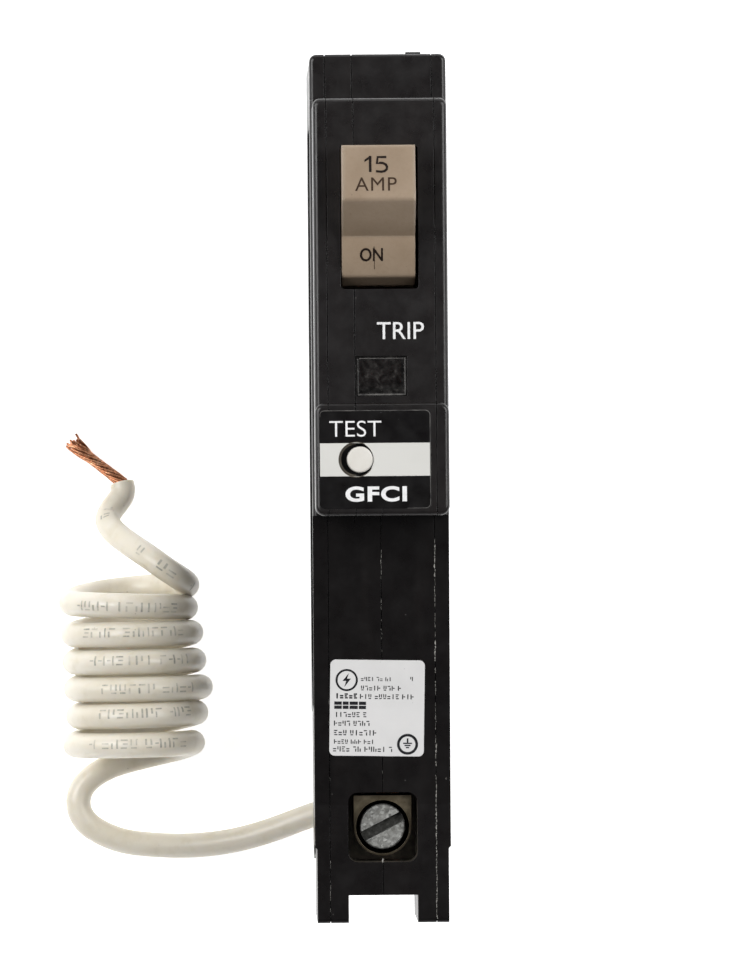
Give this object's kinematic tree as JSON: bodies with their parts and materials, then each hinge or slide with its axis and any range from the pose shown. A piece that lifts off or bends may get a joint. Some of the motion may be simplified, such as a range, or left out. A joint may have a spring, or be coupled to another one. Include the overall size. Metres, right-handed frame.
{
  "type": "gfci breaker",
  "caption": "Narrow plug-on ground-fault circuit breaker with a toggle handle, test button, trip window, screw lug and a coiled neutral pigtail.",
  "frame": {"origin": "middle of the body's footprint on its flat back, without the pigtail", "axes": "+X across the narrow width, +Y along the body to the line end, +Z out of the front face through the handle"},
  "size_m": [0.0548, 0.1218, 0.0688],
  "materials": {
    "black_plastic": "moulded thermoset, satin, fine dust and scuffs",
    "tan_plastic": "moulded handle plastic, satin",
    "white_plastic": "moulded button plastic",
    "clear_plastic": "clear window over a dark inside",
    "flag_plastic": "bright flag",
    "black_label": "printed film, black with a white band",
    "white_label": "printed paper film",
    "zinc_steel": "zinc plated, dull, nicked",
    "lug_metal": "plated, tarnished",
    "spring_steel": "polished wire",
    "copper": "bare drawn copper",
    "contact_silver": "silver alloy",
    "enamelled_copper": "enamelled winding",
    "bimetal": "rolled bimetal",
    "fibre": "vulcanised fibre",
    "board_green": "solder mask",
    "core_plastic": "moulded core case",
    "component_body": "epoxy",
    "capacitor_film": "dipped film",
    "bobbin_nylon": "nylon",
    "pigtail_insulation": "soft extruded insulation, printed marks"
  },
  "bodies": {
    "case": {"left_cover": "black_plastic", "left_frame": "black_plastic", "center_frame": "black_plastic", "right_cover": "black_plastic", "case_rivets": "zinc_steel", "test_label": "black_label", "rating_label": "white_label", "trip_window": "clear_plastic", "handle_pin": "zinc_steel", "cradle_pin": "zinc_steel", "flag_pin": "zinc_steel", "armature_pin": "zinc_steel", "stationary_contact": "contact_silver", "line_terminal": "copper", "line_jaw": "copper", "jaw_spring": "spring_steel", "cradle_spacers": "bobbin_nylon", "toggle_spring": "spring_steel", "arc_plates": "zinc_steel", "arc_chute_walls": "fibre", "bimetal_strip": "bimetal", "magnet_yoke": "zinc_steel", "calibration_screw": "zinc_steel", "load_strap": "copper", "solenoid_frame": "zinc_steel", "solenoid_bobbin": "bobbin_nylon", "solenoid_winding": "enamelled_copper", "plunger_spring": "spring_steel", "circuit_board": "board_green", "ground_fault_core": "core_plastic", "neutral_fault_core": "core_plastic", "film_capacitor": "capacitor_film", "electrolytic_capacitor": "component_body", "surge_disc": "capacitor_film", "trigger_thyristor": "component_body", "control_chip": "component_body", "board_resistors": "bobbin_nylon", "board_diodes": "component_body", "test_resistor": "bobbin_nylon", "neutral_lead": "pigtail_insulation", "arm_braid": "copper", "test_contact_spring": "copper", "test_contact_post": "copper", "lug_cage": "lug_metal", "pigtail_lead": "pigtail_insulation", "pigtail_coil": "pigtail_insulation", "pigtail_tip": "pigtail_insulation", "pigtail_copper": "copper", "strain_relief": "black_plastic"},
    "handle": {"handle": "tan_plastic", "arm_pivot_pin": "zinc_steel"},
    "switch_arm": {"contact_arm": "copper", "moving_contact": "contact_silver"},
    "trip_cradle": {"cradle": "zinc_steel"},
    "flag": {"trip_flag": "flag_plastic"},
    "plunger": {"solenoid_plunger": "zinc_steel"},
    "trip_armature": {"armature": "zinc_steel"},
    "button": {"test_button": "white_plastic"},
    "clamp_plate": {"pressure_plate": "zinc_steel"},
    "clamp_screw": {"lug_screw": "zinc_steel"}
  },
  "joints": [
    {"name": "handle_throw", "type": "hinge", "parent": "case", "child": "handle", "pos_m": [0, 0.038, 0.0515], "axis": [1, 0, 0], "range_deg": [0, 40]},
    {"name": "contact_arm_swing", "type": "hinge", "parent": "handle", "child": "switch_arm", "pos_m": [0, 0.03526, 0.04398], "axis": [1, 0, 0], "range_deg": [-75.5, 0], "deforming": ["toggle_spring", "arm_braid"]},
    {"name": "cradle_trip", "type": "hinge", "parent": "case", "child": "trip_cradle", "pos_m": [0, 0.028, 0.036], "axis": [1, 0, 0], "range_deg": [0, 20]},
    {"name": "trip_flag_swing", "type": "hinge", "parent": "case", "child": "flag", "pos_m": [0, 0.016, 0.044], "axis": [1, 0, 0], "range_deg": [0, 31.5]},
    {"name": "plunger_slide", "type": "slide", "parent": "case", "child": "plunger", "axis": [0, 1, 0], "range_m": [0, 0.0009], "stiffness_N_per_m": 300, "springref_m": -0.0005, "deforming": ["plunger_spring"]},
    {"name": "armature_swing", "type": "hinge", "parent": "case", "child": "trip_armature", "pos_m": [0, 0.0092, 0.03], "axis": [1, 0, 0], "range_deg": [-8.7, 0]},
    {"name": "test_button_press", "type": "slide", "parent": "case", "child": "button", "axis": [0, 0, -1], "range_m": [0, 0.0012], "stiffness_N_per_m": 400, "springref_m": -0.0005, "deforming": ["test_contact_spring"]},
    {"name": "pressure_plate_slide", "type": "slide", "parent": "case", "child": "clamp_plate", "axis": [0, 0, -1], "range_m": [0, 0.002]},
    {"name": "lug_screw_turn", "type": "hinge", "parent": "clamp_plate", "child": "clamp_screw", "pos_m": [0, -0.0475, 0.034], "axis": [0, 0, -1], "range_deg": [0, 910.1]}
  ],
  "couplings": [
    {"joint": "contact_arm_swing", "follows": "handle_throw", "ratio": -1.875},
    {"joint": "trip_flag_swing", "follows": "cradle_trip", "ratio": 1.55},
    {"joint": "armature_swing", "follows": "plunger_slide", "rad_per_m": -166.67},
    {"joint": "lug_screw_turn", "follows": "pressure_plate_slide", "rad_per_m": 7915.8}
  ]
}
